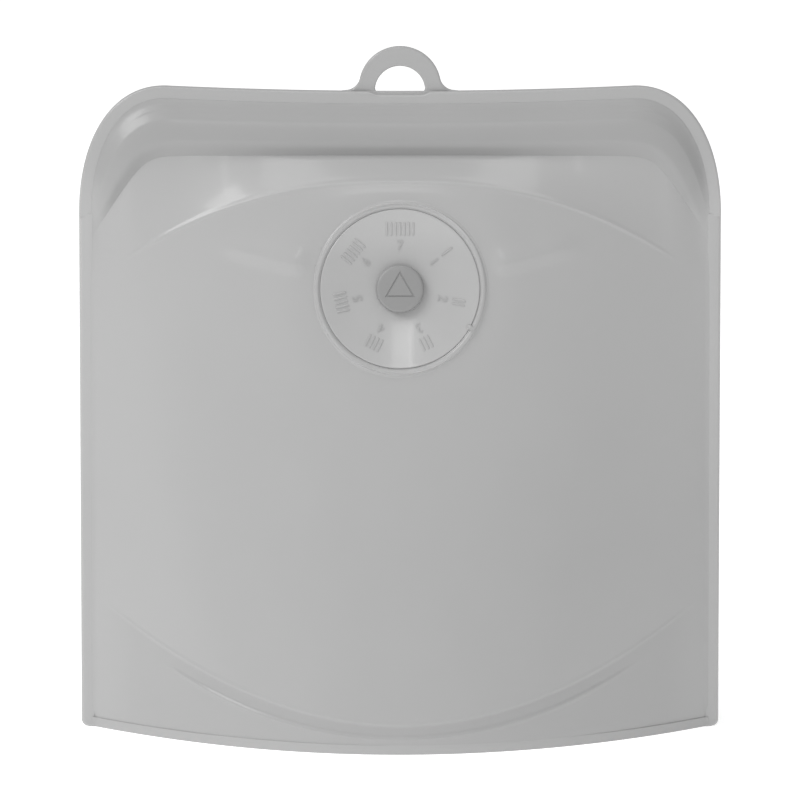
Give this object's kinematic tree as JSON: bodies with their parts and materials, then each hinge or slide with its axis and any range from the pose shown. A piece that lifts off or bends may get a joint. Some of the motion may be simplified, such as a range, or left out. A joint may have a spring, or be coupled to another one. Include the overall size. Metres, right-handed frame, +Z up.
{
  "type": "reusable silicone bag",
  "caption": "Stand-up silicone food bag with rounded mouth corners, press-together closure, hanging loop, open base gusset and a turning day dial with an arrow button.",
  "frame": {"origin": "on the table at the middle of the base, halfway between the side seams and between the front and back hems", "axes": "+Z up, +Y from the front wall with the dial towards the back wall, +X to the right of someone who looks at the front"},
  "size_m": [0.2, 0.09, 0.2152],
  "materials": {
    "silicone_wall": "frosted translucent silicone, satin",
    "silicone_edge": "translucent silicone, thin and smooth",
    "silicone_band": "thick translucent silicone, soft gloss",
    "silicone_track": "translucent silicone, smooth",
    "silicone_seat": "translucent silicone, polished ring",
    "dial_disc": "clear-grey flexible plastic, glossy",
    "dial_marks": "raised marks in the disc's own plastic",
    "arrow_button": "matte mid-grey plastic"
  },
  "bodies": {
    "base": {"base_gusset": "silicone_wall", "front_hem": "silicone_edge", "back_hem": "silicone_edge", "left_seam": "silicone_edge", "right_seam": "silicone_edge"},
    "front_wall": {"front_panel": "silicone_wall", "front_closure_band": "silicone_band", "front_lip": "silicone_edge", "upper_channel": "silicone_track", "lower_channel": "silicone_track", "dial_seat": "silicone_seat"},
    "back_wall": {"back_panel": "silicone_wall", "back_closure_band": "silicone_band", "back_lip": "silicone_edge", "hanging_loop": "silicone_edge", "upper_rib": "silicone_track", "lower_rib": "silicone_track"},
    "disc": {"day_disc": "dial_disc", "disc_numerals": "dial_marks", "disc_day_marks": "dial_marks"},
    "button": {"arrow_button": "arrow_button"}
  },
  "joints": [
    {"name": "mouth_open", "type": "hinge", "parent": "base", "child": "front_wall", "pos_m": [0, -0.045, 0], "axis": [1, 0, 0], "range_deg": [0, 10]},
    {"name": "mouth_open_back", "type": "hinge", "parent": "base", "child": "back_wall", "pos_m": [0, 0.045, 0], "axis": [1, 0, 0], "range_deg": [-10, 0]},
    {"name": "disc_turn", "type": "hinge", "parent": "front_wall", "child": "disc", "pos_m": [0, -0.02, 0.1423], "axis": [0, -0.9836, 0.1804], "continuous": true},
    {"name": "arrow_turn", "type": "hinge", "parent": "front_wall", "child": "button", "pos_m": [0, -0.02, 0.1423], "axis": [0, -0.9836, 0.1804], "continuous": true}
  ],
  "couplings": [
    {"joint": "mouth_open_back", "follows": "mouth_open", "ratio": -1}
  ]
}
